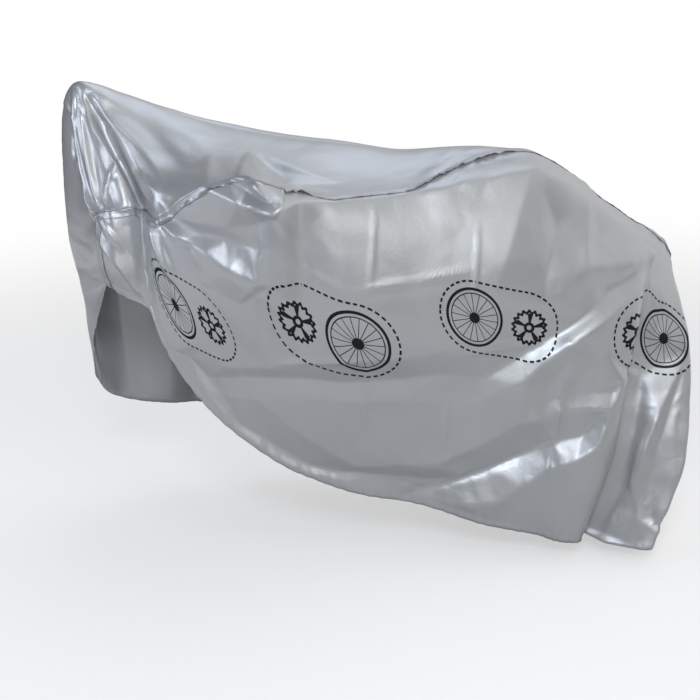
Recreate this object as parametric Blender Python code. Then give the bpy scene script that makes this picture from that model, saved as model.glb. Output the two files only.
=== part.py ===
"""Draped bicycle cover: two film panels that a welded seam joins along the top and both ends.

The cover hangs as a hollow shell, open along its hem.  x runs from the front end to the rear end,
y away from the near side, z up.  The origin is the point under the top where the cover is held up.

A section is one strip of film across the cover, from the near hem up the near wall, over the brow
and the ridge, and down the far wall to the far hem.  The tables give one row for each section, from
the front to the rear, in metres from the floor and from the rear hang line.
"""
import math

import bmesh
import bpy
import numpy as np

HOLD_POINT = np.array((-0.105, -0.085, 0.994))   # the part's origin, in the tables' measures
FILM = 0.0015            # thickness of a panel
HEM_FILM = 0.003         # thickness at the hem, where the film is turned up
FLAP = 0.0012            # thickness of the folded-over weld allowance
FLAP_WIDTH = 0.018       # width of the weld allowance
FLAP_LIFT = 0.0005       # clearance between a flap and the panel under it
HALF_GAP = 0.0002        # each panel's share of the clearance along a seam
FILM_METALLIC = 0.35
FRONT_SEAM = 0.18        # length of the front seam, from its corner down to the hem

# Near wall.  s: film along the panel from the front seam.  hem_*: the hem.  low_y, high_y: the wall
# at one and two thirds of its height.  brow_*: where the wall turns into the top.  bow: how far the
# wall bows to the rear at half height.
NEAR_COLUMNS = ("s", "hem_x", "hem_y", "hem_z", "low_y", "high_y", "brow_x", "brow_y", "brow_z", "bow")
NEAR = (
    (0.00, -1.041, -0.160, 0.712, -0.175, -0.180, -1.046, -0.170, 0.889, -0.010),
    (0.05, -0.997, -0.190, 0.690, -0.205, -0.205, -1.008, -0.190, 0.898, 0.000),
    (0.085, -0.969, -0.200, 0.680, -0.205, -0.200, -0.975, -0.180, 0.899, 0.000),
    (0.12, -0.943, -0.210, 0.668, -0.200, -0.185, -0.944, -0.160, 0.890, 0.000),
    (0.16, -0.913, -0.240, 0.598, -0.245, -0.245, -0.918, -0.240, 0.889, 0.000),
    (0.26, -0.847, -0.270, 0.486, -0.285, -0.300, -0.822, -0.280, 0.949, 0.000),
    (0.38, -0.744, -0.290, 0.371, -0.310, -0.335, -0.702, -0.330, 0.997, 0.000),
    (0.50, -0.626, -0.290, 0.275, -0.315, -0.350, -0.623, -0.410, 0.944, 0.000),
    (0.65, -0.482, -0.280, 0.200, -0.300, -0.310, -0.493, -0.300, 0.925, 0.000),
    (0.82, -0.292, -0.280, 0.148, -0.290, -0.280, -0.332, -0.250, 0.928, 0.000),
    (0.98, -0.131, -0.280, 0.092, -0.275, -0.250, -0.167, -0.210, 0.952, 0.000),
    (1.10, -0.019, -0.280, 0.063, -0.270, -0.230, -0.037, -0.180, 0.955, 0.000),
    (1.24, 0.035, -0.292, 0.054, -0.275, -0.225, 0.110, -0.140, 0.862, 0.000),
    (1.32, 0.070, -0.301, 0.052, -0.282, -0.232, 0.215, -0.115, 0.795, 0.010),
    (1.355, 0.085, -0.288, 0.052, -0.270, -0.222, 0.248, -0.106, 0.772, 0.015),
    (1.40, 0.050, -0.262, 0.060, -0.246, -0.208, 0.270, -0.096, 0.758, 0.010),
    (1.435, 0.062, -0.246, 0.066, -0.236, -0.202, 0.282, -0.088, 0.752, 0.010),
    (1.52, 0.160, -0.310, 0.048, -0.280, -0.200, 0.305, -0.070, 0.742, 0.030),
    (1.66, 0.250, -0.380, 0.046, -0.300, -0.190, 0.331, -0.040, 0.728, 0.070),
    (1.78, 0.298, -0.190, 0.060, -0.150, -0.105, 0.350, -0.050, 0.680, 0.050),
    (1.86, 0.320, -0.060, 0.070, -0.040, -0.015, 0.368, -0.008, 0.620, 0.025),
)

# Top.  s is negative along the front seam.  ridge_*: the cover's highest line, which runs on down
# the front end.  sag: how far the slope from brow to ridge hangs below a straight line.  seam: where
# the top seam lies, 0 at the brow, 1 at the ridge and more beyond it.
TOP_COLUMNS = ("s", "ridge_x", "ridge_y", "ridge_z", "sag", "seam")
TOP = (
    (-0.18, -1.041, -0.160, 0.712, 0.000, 0.00),
    (-0.09, -1.124, -0.040, 0.714, 0.000, 0.00),
    (0.00, -1.145, -0.020, 0.830, 0.000, 0.00),
    (0.05, -1.132, -0.020, 1.066, 0.000, 0.00),
    (0.085, -1.108, -0.030, 1.143, 0.000, 0.00),
    (0.12, -1.076, -0.040, 1.167, 0.010, 0.00),
    (0.16, -1.040, -0.030, 1.158, 0.020, 0.00),
    (0.26, -0.934, -0.010, 1.112, 0.030, 0.00),
    (0.38, -0.761, -0.010, 1.060, 0.020, 0.00),
    (0.50, -0.596, -0.030, 1.028, 0.010, 0.23),
    (0.65, -0.466, -0.050, 1.014, 0.005, 0.12),
    (0.82, -0.320, -0.070, 0.992, 0.000, 0.13),
    (0.98, -0.164, -0.080, 0.999, 0.000, 0.66),
    (1.10, -0.048, -0.085, 0.990, 0.000, 1.00),
    (1.24, 0.114, -0.060, 0.886, 0.000, 1.20),
    (1.38, 0.245, -0.035, 0.797, 0.000, 1.25),
    (1.52, 0.290, -0.020, 0.772, 0.000, 1.20),
    (1.66, 0.325, -0.010, 0.748, 0.000, 1.10),
    (1.78, 0.350, -0.008, 0.722, 0.000, 1.00),
    (1.86, 0.362, -0.005, 0.690, 0.000, 0.90),
)

# Far wall, for the same sections as the top.  shoulder_*: just past the ridge.  mid_*: half-way
# down.  far_*: the far hem.
FAR_COLUMNS = ("s", "shoulder_x", "shoulder_y", "shoulder_z", "mid_x", "mid_y", "mid_z",
               "far_x", "far_y", "far_z")
FAR = (
    (-0.18, -1.041, -0.160, 0.712, -1.041, -0.160, 0.712, -1.041, -0.160, 0.712),
    (-0.09, -1.127, 0.010, 0.641, -1.118, 0.020, 0.597, -1.101, 0.020, 0.561),
    (0.00, -1.147, 0.040, 0.737, -1.140, 0.065, 0.600, -1.128, 0.070, 0.466),
    (0.05, -1.151, 0.040, 0.908, -1.146, 0.100, 0.630, -1.134, 0.110, 0.373),
    (0.085, -1.125, 0.030, 1.080, -1.145, 0.120, 0.680, -1.126, 0.120, 0.339),
    (0.12, -1.100, 0.040, 1.105, -1.130, 0.130, 0.720, -1.108, 0.130, 0.311),
    (0.16, -1.065, 0.055, 1.090, -1.085, 0.155, 0.720, -1.059, 0.150, 0.282),
    (0.26, -0.940, 0.070, 1.050, -0.950, 0.175, 0.690, -0.953, 0.165, 0.259),
    (0.38, -0.765, 0.065, 1.010, -0.780, 0.165, 0.650, -0.800, 0.185, 0.230),
    (0.50, -0.600, 0.050, 0.985, -0.620, 0.165, 0.600, -0.635, 0.200, 0.200),
    (0.65, -0.470, 0.030, 0.965, -0.475, 0.160, 0.570, -0.480, 0.205, 0.170),
    (0.82, -0.320, 0.015, 0.945, -0.320, 0.165, 0.550, -0.310, 0.210, 0.140),
    (0.98, -0.160, 0.010, 0.955, -0.150, 0.170, 0.540, -0.140, 0.215, 0.110),
    (1.10, -0.040, 0.005, 0.940, -0.020, 0.165, 0.520, 0.000, 0.220, 0.090),
    (1.24, 0.120, 0.015, 0.840, 0.110, 0.150, 0.460, 0.110, 0.215, 0.080),
    (1.38, 0.250, 0.035, 0.745, 0.215, 0.130, 0.410, 0.200, 0.190, 0.080),
    (1.52, 0.300, 0.045, 0.722, 0.290, 0.115, 0.400, 0.275, 0.150, 0.080),
    (1.66, 0.338, 0.035, 0.700, 0.350, 0.070, 0.390, 0.320, 0.055, 0.075),
    (1.78, 0.352, 0.030, 0.675, 0.364, 0.025, 0.370, 0.324, -0.002, 0.073),
    (1.86, 0.368, -0.008, 0.620, 0.366, -0.027, 0.350, 0.320, -0.060, 0.070),
)

# Section places of: near hem, low, high, brow, slope, ridge, shoulder, mid and far hem.
SECTION_W = (0.00, 0.15, 0.30, 0.42, 0.49, 0.56, 0.63, 0.80, 1.00)
BROW, RIDGE, SHOULDER = 3, 5, 6
BROW_W, RIDGE_W, SHOULDER_W = (SECTION_W[k] for k in (BROW, RIDGE, SHOULDER))

# Main folds.  Each runs from (x1, z1) to (x2, z2) as seen from the near side; bend bows it sideways.
# width: from its crest to its foot, at each end.  lift: how far it stands out there and at half
# length.  lean: moves its foot to one side, -1 to 1.  side: 1 faces near, -1 is the far wall.
FOLD_COLUMNS = ("side", "x1", "z1", "x2", "z2", "bend", "width1", "width2",
                "lift1", "lift", "lift2", "lean")
FOLDS = (
    # front bundle of pleats, from the front peak down to the seam, and the valley behind it
    (1, -1.089, 1.143, -1.048, 0.900, -0.006, 0.012, 0.018, 0.004, 0.016, 0.002, 0.0),
    (1, -1.072, 1.140, -0.980, 0.915, -0.004, 0.016, 0.036, 0.006, 0.022, 0.008, 0.3),
    (1, -1.060, 1.130, -0.930, 0.910, -0.004, 0.018, 0.034, -0.006, -0.026, -0.010, 0.0),
    (1, -1.050, 1.115, -0.881, 0.950, 0.008, 0.016, 0.040, 0.004, 0.012, 0.004, 0.3),
    # near bulge: its crests, the pocket under it and the folds that run from it
    (1, -0.702, 0.985, -0.622, 0.946, 0.000, 0.028, 0.032, 0.002, 0.012, 0.014, 0.0),
    (1, -0.800, 0.955, -0.635, 0.940, 0.000, 0.034, 0.034, 0.004, 0.014, 0.012, 0.0),
    (1, -0.890, 0.870, -0.690, 0.855, -0.008, 0.045, 0.060, -0.012, -0.034, -0.020, 0.0),
    (1, -0.838, 0.850, -0.680, 0.767, 0.000, 0.034, 0.040, 0.004, 0.020, 0.016, 0.4),
    (1, -0.660, 0.890, -0.685, 0.770, 0.000, 0.034, 0.040, 0.004, 0.012, 0.012, 0.0),
    (1, -0.685, 0.770, -0.720, 0.560, 0.004, 0.040, 0.060, 0.012, 0.012, 0.002, 0.0),
    (1, -0.615, 0.900, -0.570, 0.680, 0.010, 0.034, 0.070, 0.006, 0.010, 0.002, 0.0),
    # rear shoulder: the brow crest and the rays that leave it
    (1, -0.036, 0.956, -0.430, 0.922, -0.008, 0.040, 0.050, 0.012, 0.012, 0.002, 0.0),
    (1, -0.036, 0.954, 0.089, 0.735, 0.006, 0.034, 0.060, 0.008, 0.020, 0.018, 0.3),
    (1, -0.040, 0.920, -0.050, 0.640, 0.000, 0.050, 0.110, -0.004, -0.026, -0.004, 0.0),
    (1, -0.040, 0.950, -0.120, 0.740, -0.004, 0.034, 0.060, 0.004, 0.012, 0.002, 0.0),
    (1, 0.104, 0.880, 0.089, 0.735, 0.000, 0.028, 0.040, 0.002, 0.010, 0.012, 0.0),
    (1, 0.089, 0.732, 0.275, 0.728, -0.004, 0.040, 0.040, 0.014, 0.016, 0.010, 0.0),
    (1, 0.280, 0.715, -0.166, 0.430, 0.004, 0.040, 0.100, 0.008, 0.024, 0.004, 0.3),
    # lower wall: folds that meet in the pinch of the hem, and the long fold along the hem
    (1, -0.285, 0.185, 0.115, 0.325, 0.014, 0.034, 0.060, 0.016, 0.024, 0.008, -0.3),
    (1, -0.285, 0.170, -0.010, 0.177, 0.000, 0.028, 0.040, 0.010, 0.012, 0.002, 0.0),
    (1, -0.290, 0.190, -0.190, 0.390, -0.006, 0.030, 0.060, 0.012, 0.014, 0.002, 0.0),
    (1, -0.295, 0.180, -0.490, 0.275, 0.004, 0.030, 0.046, 0.012, 0.014, 0.004, 0.0),
    (1, -0.730, 0.505, -0.465, 0.255, -0.008, 0.046, 0.046, 0.006, 0.020, 0.012, 0.3),
    (1, -0.740, 0.540, -0.280, 0.500, 0.010, 0.060, 0.060, -0.004, -0.012, -0.004, 0.0),
    (1, 0.290, 0.360, 0.250, 0.080, 0.004, 0.034, 0.040, 0.004, 0.014, 0.010, 0.0),
    # far wall
    (-1, -1.090, 0.950, -1.060, 0.330, 0.010, 0.050, 0.070, 0.002, 0.014, 0.014, 0.0),
    (-1, -0.900, 0.980, -0.880, 0.260, 0.020, 0.060, 0.090, 0.002, 0.022, 0.030, 0.2),
    (-1, -0.700, 0.930, -0.620, 0.210, 0.020, 0.060, 0.080, 0.002, 0.016, 0.024, 0.0),
    (-1, -0.480, 0.900, -0.440, 0.190, -0.020, 0.060, 0.090, 0.002, 0.014, 0.020, -0.2),
    (-1, -0.260, 0.900, -0.240, 0.160, -0.010, 0.060, 0.090, 0.004, 0.022, 0.028, 0.2),
    (-1, -0.050, 0.900, -0.030, 0.140, 0.020, 0.060, 0.080, 0.004, 0.018, 0.022, 0.0),
    (-1, 0.060, 0.800, 0.150, 0.120, 0.020, 0.050, 0.080, 0.004, 0.020, 0.026, 0.0),
)
END_FADE = 0.03          # folds die out within this distance of the end seams

# Film distance at which each stretch of a panel's columns ends, and its number of steps.
REAR_S = NEAR[-1][0]
ALONG = ((FLAP_WIDTH, 1), (0.20, 11), (0.60, 13), (1.20, 14), (1.30, 3), (1.45, 10), (1.60, 5),
         (REAR_S - FLAP_WIDTH, 7), (REAR_S, 1))
STEPS_UP = 24            # quads from hem to seam
FRONT_STEPS = 8          # quads of the far panel along the front seam
FAR_WALL_STEPS = 8       # of its quads from hem to seam, those below the top of its wall
WALL_TOP_W = 0.68        # section place where the far wall's even steps end
EVEN_FROM, EVEN_TO = 1.20, 1.60   # over these film distances its rows turn evenly spaced
SEAM_EASE = 0.20         # within this distance of the rear seam they are drawn onto the near rows


def unit(vectors):
    """Vectors at length one; a vector of no length stays so."""
    length = np.linalg.norm(vectors, axis=-1, keepdims=True)
    return vectors / np.maximum(length, 1e-9)


def pchip(knots, values, at):
    """Smooth curve through values at rising knots, which never swings past them."""
    knots = np.asarray(knots, float)
    values = np.asarray(values, float)
    span = np.diff(knots)[:, None]
    rise = np.diff(values, axis=0) / span
    slope = np.zeros_like(values)
    same = rise[:-1] * rise[1:] > 0
    w1, w2 = 2 * span[1:] + span[:-1], span[1:] + 2 * span[:-1]
    with np.errstate(divide="ignore", invalid="ignore"):
        mean = (w1 + w2) / (w1 / rise[:-1] + w2 / rise[1:])
    slope[1:-1][same] = mean[same]
    slope[0], slope[-1] = rise[0], rise[-1]
    at = np.asarray(at, float)
    cell = np.clip(np.searchsorted(knots, at, side="right") - 1, 0, len(knots) - 2)
    h = span[cell]
    t = ((at - knots[cell]) / span[cell, 0])[:, None]
    return (values[cell] * (1 + 2 * t) * (1 - t) ** 2 + slope[cell] * h * t * (1 - t) ** 2
            + values[cell + 1] * t * t * (3 - 2 * t) + slope[cell + 1] * h * t * t * (t - 1))


def read_table(columns, rows, s):
    """A table's columns by name, read at film distances s."""
    rows = np.array(rows, float)
    return dict(zip(columns[1:], pchip(rows[:, 0], rows[:, 1:], s).T))


def places(table, name):
    """The x, y and z columns of one named line of a table."""
    return np.stack([table[name + axis] for axis in ("_x", "_y", "_z")], 1)


def top_points(s, brow):
    """Slope, ridge and shoulder of the sections at film distances s, above their brow."""
    top, far = read_table(TOP_COLUMNS, TOP, s), read_table(FAR_COLUMNS, FAR, s)
    ridge = places(top, "ridge")
    slope = (brow + ridge) / 2
    slope[:, 2] -= top["sag"]
    return [slope, ridge, places(far, "shoulder")]


def near_net():
    """Points that carry the near sections, from the hem to the shoulder."""
    s = np.array([row[0] for row in NEAR])
    near = read_table(NEAR_COLUMNS, NEAR, s)
    hem, brow = places(near, "hem"), places(near, "brow")
    wall = []
    for share, out in ((1 / 3, near["low_y"]), (2 / 3, near["high_y"])):
        point = hem + (brow - hem) * share
        point[:, 0] += near["bow"] * 4 * share * (1 - share)
        point[:, 1] = out
        wall.append(point)
    return s, np.stack([hem, *wall, brow, *top_points(s, brow)], 1)


def far_net():
    """Points that carry the far sections, from the brow or the front seam to the far hem."""
    s = np.array([row[0] for row in TOP])
    near_s, near = near_net()
    along_top = s >= 0
    brow = np.zeros((len(s), 3))
    brow[along_top] = pchip(near_s, near[:, BROW], s[along_top])
    brow[~along_top] = pchip((0, 1 / 3, 2 / 3, 1), near[0, :BROW + 1], 1 + s[~along_top] / FRONT_SEAM)
    far = read_table(FAR_COLUMNS, FAR, s)
    return s, np.stack([brow, *top_points(s, brow), places(far, "mid"), places(far, "far")], 1)


def seam_w(s):
    """Where along its section the top seam lies, at film distances s."""
    share = read_table(TOP_COLUMNS, TOP, s)["seam"]
    before = BROW_W + share * (RIDGE_W - BROW_W)
    beyond = RIDGE_W + (share - 1) * (SHOULDER_W - RIDGE_W)
    return np.where(share < 1, before, beyond)


def fold_lift(x, z, row):
    """How far one fold lifts the film at side-view places x, z."""
    fold = dict(zip(FOLD_COLUMNS[1:], row[1:]))
    start = np.array((fold["x1"], fold["z1"]))
    end = np.array((fold["x2"], fold["z2"]))
    across = unit(np.array((start[1] - end[1], end[0] - start[0])))
    middle = (start + end) / 2 + across * fold["bend"] * 2
    steps = np.linspace(0, 1, 9)[:, None]
    line = (1 - steps) ** 2 * start + 2 * steps * (1 - steps) * middle + steps ** 2 * end
    place = np.stack([x, z], -1)
    best = np.full(x.shape, np.inf)
    along, side = np.zeros(x.shape), np.ones(x.shape)
    for k in range(len(line) - 1):
        run = line[k + 1] - line[k]
        t = np.clip((place - line[k]) @ run / (run @ run), 0, 1)
        off = place - line[k] - t[..., None] * run
        distance = np.hypot(off[..., 0], off[..., 1])
        closer = distance < best
        best = np.where(closer, distance, best)
        along = np.where(closer, (k + t) / (len(line) - 1), along)
        side = np.where(closer, np.sign(run[0] * off[..., 1] - run[1] * off[..., 0]), side)
    width = fold["width1"] + (fold["width2"] - fold["width1"]) * along
    lift = (fold["lift1"] * (1 - along) * (1 - 2 * along) + fold["lift"] * 4 * along * (1 - along)
            + fold["lift2"] * along * (2 * along - 1))
    u = np.clip(best / (width * (1 + fold["lean"] * side)), 0, 1)
    return lift * (1 - u) ** 2 * (1 + u)


def grid_normals(grid):
    """Unit normals of a grid whose rows run rearwards and whose columns run up the near wall."""
    return unit(np.cross(np.gradient(grid, axis=0), np.gradient(grid, axis=1)))


def cover_points(knots, net, s, w):
    """Outer skin at film distances s, with one row of section places w for each."""
    first = 0 if w[0, 0] < w[0, -1] else BROW
    net_w = SECTION_W[first:first + net.shape[1]]
    carried = pchip(knots, net.reshape(len(net), -1), s).reshape(len(s), len(net_w), 3)
    skin = np.stack([pchip(net_w, carried[k], w[k]) for k in range(len(s))])
    lift = np.zeros(w.shape)
    for row in FOLDS:
        facing = (w <= RIDGE_W) if row[0] > 0 else (w > RIDGE_W)
        lift += np.where(facing, fold_lift(skin[..., 0], skin[..., 2], row), 0)
    ends = np.clip(np.minimum(s - s[0], s[-1] - s) / END_FADE, 0, 1)[:, None]
    outward = grid_normals(skin) * (-1 if first else 1)
    return skin + outward * (lift * ends)[..., None] - HOLD_POINT


def rows_along():
    """Film distances of a panel's columns, from the front seam to the rear seam."""
    stops = [np.array([0.0])]
    for (start, _), (end, steps) in zip(((0.0, 0),) + ALONG, ALONG):
        stops.append(np.linspace(start, end, steps + 1)[1:])
    return np.concatenate(stops)


def run_lengths(points):
    """Share of a line's length at each of its points."""
    steps = np.linalg.norm(np.diff(points, axis=0), axis=-1)
    return np.concatenate([[0.0], np.cumsum(steps)]) / steps.sum()


def read_line(at, values, wanted):
    """Values along a line, read at other shares of its length."""
    return np.stack([np.interp(wanted, at, values[:, k]) for k in range(values.shape[1])], 1)


def near_grid():
    """Outer skin of the near panel, whose last row of quads is as wide as the flap over it."""
    knots, net = near_net()
    s = rows_along()
    seam = seam_w(s)[:, None]
    draft = cover_points(knots, net, s, seam * np.linspace(0, 1, STEPS_UP + 1))
    last = np.linalg.norm(draft[:, -1] - draft[:, -2], axis=-1)[:, None]
    below_flap = seam * (1 - FLAP_WIDTH / last / STEPS_UP)
    w = np.concatenate([below_flap * np.linspace(0, 1, STEPS_UP), seam], 1)
    return cover_points(knots, net, s, w)


def far_grid(near):
    """Outer skin of the far panel, whose top row and ends lie on the near panel's seam edges.

    Its top row follows the front seam up from the hem before it turns along the top.
    """
    front = np.linspace(0, 1, FRONT_STEPS + 1)[:-1]
    s = np.concatenate([FRONT_SEAM * (front - 1), rows_along()])
    seam = seam_w(s)[:, None]
    wall = np.linspace(1, WALL_TOP_W, FAR_WALL_STEPS + 1)[None, :-1].repeat(len(s), 0)
    over = WALL_TOP_W + (seam - WALL_TOP_W) * np.linspace(0, 1, STEPS_UP - FAR_WALL_STEPS + 1)
    even = 1 + (seam - 1) * np.linspace(0, 1, STEPS_UP + 1)
    evened = np.clip((s - EVEN_FROM) / (EVEN_TO - EVEN_FROM), 0, 1)[:, None]
    w = np.concatenate([wall, over], 1) * (1 - evened) + even * evened
    far = cover_points(*far_net(), s, w)
    near_seam = np.clip(1 - (REAR_S - s) / SEAM_EASE, 0, 1)[:, None, None] ** 2
    far += near_seam * (near[-1] - far[-1])
    far[0] = near[0, 0]
    far[:FRONT_STEPS, -1] = read_line(run_lengths(near[0]), near[0], front)
    far[FRONT_STEPS:, -1] = near[:, -1]
    return far


def panel_grids():
    """Outer skins of the near and the far panel, and their outward directions."""
    near = near_grid()
    far = far_grid(near)
    near_out, far_out = grid_normals(near), -grid_normals(far)
    near_out[:, -1] = far_out[FRONT_STEPS:, -1] = unit(near_out[:, -1] + far_out[FRONT_STEPS:, -1])
    near_out[-1] = far_out[-1] = unit(near_out[-1] + far_out[-1])
    near_at = run_lengths(near[0])
    far_at = np.linspace(0, 1, FRONT_STEPS + 1)
    front = far_out[:FRONT_STEPS + 1, -1]
    front[0] = near_out[0, 0]
    front[:] = unit(front + read_line(near_at, near_out[0], far_at))
    near_out[0] = unit(read_line(far_at, front, near_at))
    far_out[0] = near_out[0, 0]
    return near, near_out, far, far_out


def inset_seams(grid):
    """The grid with its seam edges drawn in by half the clearance."""
    inset = grid.copy()
    for edge, inside in ((0, 1), (-1, -2)):
        if np.ptp(grid[edge], axis=0).max() > 0:
            inset[edge] += unit(grid[inside] - grid[edge]) * HALF_GAP
    inset[:, -1] += unit(grid[:, -2] - grid[:, -1]) * HALF_GAP
    return inset


def sheet_mesh(name, outer, inner):
    """A closed mesh between two like grids, with a rim at their edges."""
    rows, columns = outer.shape[:2]
    skin = rows * columns
    faces = []
    for r in range(rows - 1):
        for c in range(columns - 1):
            a = r * columns + c
            b = a + columns
            pair = ((a, b, b + 1), (a, b + 1, a + 1))
            for face in pair:
                faces.append(face)
                faces.append(tuple(point + skin for point in reversed(face)))
    rim = [r * columns for r in range(rows)]
    rim += [(rows - 1) * columns + c for c in range(1, columns)]
    rim += [r * columns + columns - 1 for r in range(rows - 2, -1, -1)]
    rim += list(range(columns - 2, 0, -1))
    for a, b in zip(rim, rim[1:] + rim[:1]):
        faces.append((b, a, a + skin))
        faces.append((b, a + skin, b + skin))
    mesh = bpy.data.meshes.new(name)
    points = np.concatenate([outer.reshape(-1, 3), inner.reshape(-1, 3)])
    mesh.from_pydata(points.tolist(), [], faces)
    return mesh


def film_material(name, colour, roughness):
    """A satin film with metal pigment."""
    material = bpy.data.materials.new(name)
    material.use_nodes = True
    shader = material.node_tree.nodes["Principled BSDF"]
    shader.inputs["Base Color"].default_value = (*colour, 1)
    shader.inputs["Roughness"].default_value = roughness
    shader.inputs["Metallic"].default_value = FILM_METALLIC
    return material


def add_piece(name, mesh, material):
    """Put one finished piece in the scene, with its faces turned out."""
    tidy = bmesh.new()
    tidy.from_mesh(mesh)
    bmesh.ops.remove_doubles(tidy, verts=tidy.verts, dist=1e-6)
    if tidy.calc_volume(signed=True) < 0:
        bmesh.ops.reverse_faces(tidy, faces=tidy.faces)
    tidy.to_mesh(mesh)
    tidy.free()
    mesh.shade_smooth()
    mesh.set_sharp_from_angle(angle=math.radians(50))
    mesh.materials.append(material)
    bpy.context.scene.collection.objects.link(bpy.data.objects.new(name, mesh))


def add_panel(name, grid, out, material):
    """One film panel, thicker at its turned-up hem."""
    thick = np.full(grid.shape[:2] + (1,), FILM)
    thick[1:, 0] = HEM_FILM
    outer = inset_seams(grid)
    add_piece(name, sheet_mesh(name, outer, outer - out * thick), material)


def add_flap(name, under, out, material):
    """The weld allowance along one seam, folded down flat on the near panel under it."""
    lower = under + out * FLAP_LIFT
    add_piece(name, sheet_mesh(name, lower + out * FLAP, lower), material)


def main():
    """Build the cover."""
    for old in list(bpy.data.objects):
        bpy.data.objects.remove(old, do_unlink=True)
    near, near_out, far, far_out = panel_grids()
    film = film_material("silver_film", (0.50, 0.53, 0.54), 0.42)
    welded = film_material("welded_film", (0.44, 0.47, 0.48), 0.50)
    add_panel("near_panel", near, near_out, film)
    add_panel("far_panel", far, far_out, film)
    for name, columns, rows in (("top_seam_flap", slice(None), slice(-2, None)),
                                ("front_seam_flap", slice(0, 2), slice(0, -2)),
                                ("rear_seam_flap", slice(-2, None), slice(0, -2))):
        add_flap(name, near[columns, rows], near_out[columns, rows], welded)


main()
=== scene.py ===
"""Looks of a draped cover of silver film: its folds, creases, welds, turned-up hem, print and finish."""
import math

import bpy
import numpy as np
from mathutils import Matrix, Vector
from mathutils.geometry import delaunay_2d_cdt


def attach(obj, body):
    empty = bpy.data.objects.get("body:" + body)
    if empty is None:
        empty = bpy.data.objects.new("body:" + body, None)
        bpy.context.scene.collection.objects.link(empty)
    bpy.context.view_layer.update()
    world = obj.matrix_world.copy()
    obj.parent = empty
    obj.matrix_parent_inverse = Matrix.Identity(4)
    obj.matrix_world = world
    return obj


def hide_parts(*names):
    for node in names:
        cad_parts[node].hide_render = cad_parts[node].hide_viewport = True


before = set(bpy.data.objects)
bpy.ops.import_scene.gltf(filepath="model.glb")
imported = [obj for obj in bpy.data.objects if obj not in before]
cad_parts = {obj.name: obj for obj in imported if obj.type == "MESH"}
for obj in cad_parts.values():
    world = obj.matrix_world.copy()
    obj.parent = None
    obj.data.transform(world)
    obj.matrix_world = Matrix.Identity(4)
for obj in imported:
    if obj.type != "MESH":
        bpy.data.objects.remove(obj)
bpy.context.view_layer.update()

# ---- sizes, in metres
HOLD_POINT = np.array((-0.105, -0.085, 0.994))   # the part's origin, in the tables' measures
FILM = 0.0006            # film thickness as drawn
FLAP = 0.0005            # thickness of the folded-over weld allowance
FLAP_WIDTH = 0.018       # width of the weld allowance
FLAP_LIFT = 0.0006       # clearance between a flap and the panel under it
HEM_BAND = 0.017         # width of the turned-up hem
HEM_STEP = 0.0009        # how far the turned-up hem stands proud
HEM_EDGE = 0.0012        # width over which it steps down
HEM_LINE, HEM_LINE_OFF, HEM_LINE_WIDTH = 0.0006, 0.002, 0.0025   # its pressed line: depth, place, width
HEM_PUCKERS = (0.031, 0.173)     # lengths of its puckers and of the waves that they swell in
HEM_PUCKER, HEM_PUCKER_REACH = 0.0016, 0.03   # their height, and how far up the wall they reach
FRONT_SEAM = 0.18        # length of the front seam, from its corner down to the hem

# The cover's smooth shape, in millimetres.
# Near wall.  s: film along the panel from the front seam.  hem_*: the hem.  low_y, high_y: the wall
# at one and two thirds of its height.  brow_*: where the wall turns into the top.  bow: how far the
# wall bows to the rear at half height.
NEAR_COLUMNS = ("s", "hem_x", "hem_y", "hem_z", "low_y", "high_y", "brow_x", "brow_y", "brow_z", "bow")
NEAR = (
    (0, -1041, -160, 712, -175, -180, -1046, -170, 889, -10),
    (50, -997, -190, 690, -205, -205, -1008, -190, 898, 0),
    (85, -969, -200, 680, -205, -200, -975, -180, 899, 0),
    (120, -943, -210, 668, -200, -185, -944, -160, 890, 0),
    (160, -913, -240, 598, -245, -245, -918, -240, 889, 0),
    (260, -847, -270, 486, -285, -300, -822, -280, 949, 0),
    (380, -744, -290, 371, -310, -335, -702, -330, 997, 0),
    (500, -626, -290, 275, -315, -350, -623, -410, 944, 0),
    (545, -583, -287, 250, -312, -333, -583, -335, 938, 0),
    (650, -482, -280, 200, -308, -348, -493, -290, 925, 0),
    (820, -292, -280, 148, -300, -330, -332, -240, 928, 0),
    (980, -131, -296, 98, -292, -303, -167, -200, 952, 0),
    (1100, -19, -300, 71, -290, -283, -37, -170, 955, 0),
    (1240, 35, -322, 60, -302, -275, 110, -135, 862, 0),
    (1320, 70, -328, 57, -310, -262, 215, -115, 795, 10),
    (1355, 85, -306, 57, -298, -252, 248, -106, 772, 15),
    (1400, 50, -262, 60, -246, -208, 270, -96, 758, 10),
    (1435, 62, -246, 66, -236, -202, 282, -88, 752, 10),
    (1520, 160, -322, 42, -286, -202, 305, -70, 742, 30),
    (1660, 250, -368, 46, -296, -190, 331, -40, 728, 70),
    (1780, 298, -190, 60, -150, -105, 350, -50, 680, 50),
    (1860, 320, -60, 70, -40, -15, 368, -8, 620, 25),
)

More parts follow.
